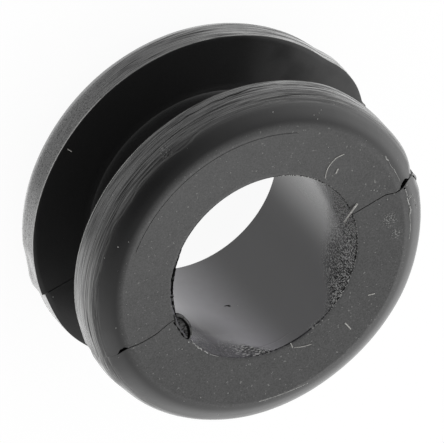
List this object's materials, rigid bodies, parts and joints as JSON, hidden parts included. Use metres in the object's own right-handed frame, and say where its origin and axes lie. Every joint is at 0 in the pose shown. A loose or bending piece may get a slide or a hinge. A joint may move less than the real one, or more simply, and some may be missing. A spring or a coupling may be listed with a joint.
{
  "type": "rubber grommet",
  "caption": "Round rubber grommet with a central bore and a panel groove between rounded flanges.",
  "frame": {"origin": "centre of the back end face, which the part stands on", "axes": "+Z along the bore from the back flange to the front flange, +X along the mould seam to the nicked end"},
  "size_m": [0.0146, 0.0144, 0.0071],
  "materials": {
    "rubber": "black moulded rubber with a dull sheen, fine turned streaks on the rims and specks of dust"
  },
  "bodies": {
    "root": {"grommet": "rubber"}
  },
  "joints": []
}
